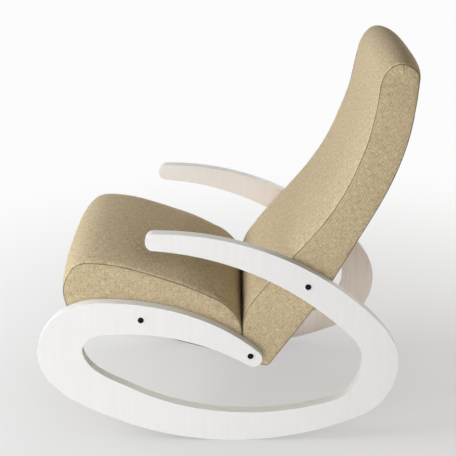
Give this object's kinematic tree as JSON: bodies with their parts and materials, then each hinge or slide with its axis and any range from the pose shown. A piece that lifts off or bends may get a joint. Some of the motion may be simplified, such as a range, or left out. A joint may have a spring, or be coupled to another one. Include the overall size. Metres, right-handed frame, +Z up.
{
  "type": "rocking chair",
  "caption": "Upholstered rocking chair between two spiral side frames of painted plywood that form armrests, rear curves, curved runners and seat rails.",
  "frame": {"origin": "on the floor, under the middle of the chair's length and width; the runners touch the floor 30.5 mm behind it", "axes": "+Z up, +X to the sitter's left, -Y is where the sitter faces"},
  "size_m": [0.5498, 0.9192, 0.9825],
  "materials": {
    "painted_plywood": "semi-matt white paint over plywood",
    "bare_plywood": "bare sanded plywood",
    "cover_fabric": "linen-like plain weave",
    "foam": "open-cell foam",
    "webbing": "woven elastic webbing",
    "dust_fabric": "non-woven cloth",
    "black_steel": "black oxide",
    "zinc_steel": "zinc plated"
  },
  "bodies": {
    "root": {"left_side_frame": "painted_plywood", "right_side_frame": "painted_plywood", "left_connector_bolts": "black_steel", "right_connector_bolts": "black_steel", "left_threaded_inserts": "zinc_steel", "right_threaded_inserts": "zinc_steel", "seat_left_cheek": "bare_plywood", "seat_right_cheek": "bare_plywood", "seat_front_rail": "bare_plywood", "seat_rear_rail": "bare_plywood", "seat_corner_blocks": "bare_plywood", "seat_webbing": "webbing", "seat_foam": "foam", "seat_cover": "cover_fabric", "seat_dust_cover": "dust_fabric", "back_left_cheek": "bare_plywood", "back_right_cheek": "bare_plywood", "back_top_rail": "bare_plywood", "back_middle_rail": "bare_plywood", "back_bottom_rail": "bare_plywood", "back_webbing": "webbing", "back_foam": "foam", "back_head_pad": "foam", "back_cover": "cover_fabric", "back_rear_panel": "cover_fabric", "seat_back_bolts": "zinc_steel", "seat_back_washers": "zinc_steel", "seat_back_tee_nuts": "zinc_steel"}
  },
  "joints": []
}
